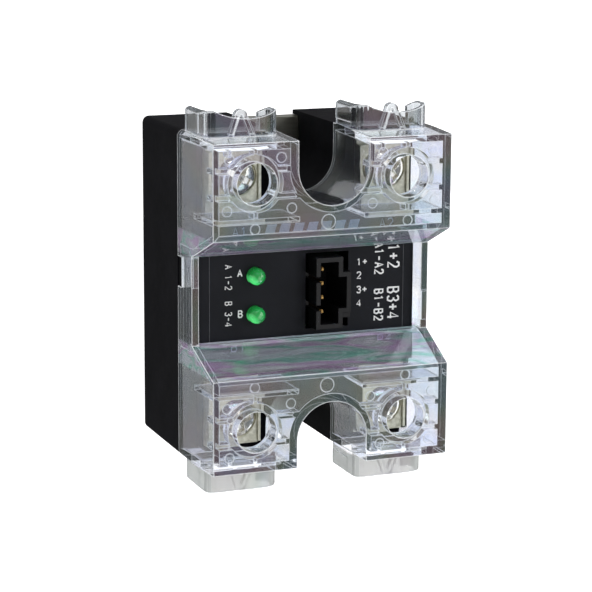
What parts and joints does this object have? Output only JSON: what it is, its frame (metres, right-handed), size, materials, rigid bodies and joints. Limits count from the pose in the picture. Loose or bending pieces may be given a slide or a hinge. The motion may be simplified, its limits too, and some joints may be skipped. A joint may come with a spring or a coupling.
{
  "type": "solid state relay",
  "caption": "Panel-mount solid state relay with a metal base plate, screw clamp terminals, a pin header input, indicator lamps and a clear touch-safe cover.",
  "frame": {"origin": "centre of the base plate's underside, which is also the bottom centre of the whole part", "axes": "+Z out of the base plate towards the cover's front, +Y along the length towards the A terminals, +X across the face towards the input header"},
  "size_m": [0.045, 0.0666, 0.0364],
  "materials": {
    "plate_metal": "satin machined plate",
    "housing_plastic": "fine spark-eroded texture",
    "label_film": "satin printed film",
    "ceramic_white": "fired alumina",
    "copper": "bare copper, satin",
    "silicon": "metallised die",
    "tinned": "tinned",
    "gel": "soft silicone gel",
    "board_green": "solder mask",
    "component_black": "moulded epoxy",
    "capacitor_red": "moulded box",
    "led_green": "tinted clear epoxy",
    "header_plastic": "moulded",
    "gold": "gold flash",
    "nut_steel": "zinc plated",
    "terminal_nickel": "matte nickel plate",
    "screw_nickel": "bright nickel plate",
    "clear_plastic": "clear polycarbonate"
  },
  "bodies": {
    "relay": {"base_plate": "plate_metal", "housing": "housing_plastic", "label": "label_film", "ceramic_substrates": "ceramic_white", "copper_pads": "copper", "scr_chips": "silicon", "bond_straps": "copper", "gate_leads": "tinned", "potting_gel": "gel", "control_board": "board_green", "optocouplers": "component_black", "input_regulators": "component_black", "resistors": "component_black", "snubber_capacitors": "capacitor_red", "led_a": "led_green", "led_b": "led_green", "led_leads": "tinned", "input_header": "header_plastic", "header_pins": "gold", "terminal_a1": "terminal_nickel", "terminal_a2": "terminal_nickel", "terminal_b1": "terminal_nickel", "terminal_b2": "terminal_nickel", "terminal_nuts": "nut_steel"},
    "cover": {"cover": "clear_plastic"},
    "clamp_a1": {"clamp_a1": "terminal_nickel"},
    "screw_a1": {"screw_a1": "screw_nickel"},
    "clamp_a2": {"clamp_a2": "terminal_nickel"},
    "screw_a2": {"screw_a2": "screw_nickel"},
    "clamp_b1": {"clamp_b1": "terminal_nickel"},
    "screw_b1": {"screw_b1": "screw_nickel"},
    "clamp_b2": {"clamp_b2": "terminal_nickel"},
    "screw_b2": {"screw_b2": "screw_nickel"}
  },
  "joints": [
    {"name": "cover_lift", "type": "slide", "parent": "relay", "child": "cover", "axis": [0, 0, 1], "range_m": [0, 0.025]},
    {"name": "clamp_a1_lift", "type": "slide", "parent": "relay", "child": "clamp_a1", "axis": [0, 0, 1], "range_m": [0, 0.0028]},
    {"name": "screw_a1_turn", "type": "hinge", "parent": "clamp_a1", "child": "screw_a1", "pos_m": [-0.0139, 0.0214, 0.026], "axis": [0, 0, 1], "range_deg": [0, 1443]},
    {"name": "clamp_a2_lift", "type": "slide", "parent": "relay", "child": "clamp_a2", "axis": [0, 0, 1], "range_m": [0, 0.0028]},
    {"name": "screw_a2_turn", "type": "hinge", "parent": "clamp_a2", "child": "screw_a2", "pos_m": [0.0139, 0.0214, 0.026], "axis": [0, 0, 1], "range_deg": [0, 1443]},
    {"name": "clamp_b1_lift", "type": "slide", "parent": "relay", "child": "clamp_b1", "axis": [0, 0, 1], "range_m": [0, 0.0028]},
    {"name": "screw_b1_turn", "type": "hinge", "parent": "clamp_b1", "child": "screw_b1", "pos_m": [-0.0139, -0.0214, 0.026], "axis": [0, 0, 1], "range_deg": [0, 1443]},
    {"name": "clamp_b2_lift", "type": "slide", "parent": "relay", "child": "clamp_b2", "axis": [0, 0, 1], "range_m": [0, 0.0028]},
    {"name": "screw_b2_turn", "type": "hinge", "parent": "clamp_b2", "child": "screw_b2", "pos_m": [0.0139, -0.0214, 0.026], "axis": [0, 0, 1], "range_deg": [0, 1443]}
  ],
  "couplings": [
    {"joint": "screw_a1_turn", "follows": "clamp_a1_lift", "rad_per_m": 8976},
    {"joint": "screw_a2_turn", "follows": "clamp_a2_lift", "rad_per_m": 8976},
    {"joint": "screw_b1_turn", "follows": "clamp_b1_lift", "rad_per_m": 8976},
    {"joint": "screw_b2_turn", "follows": "clamp_b2_lift", "rad_per_m": 8976}
  ]
}
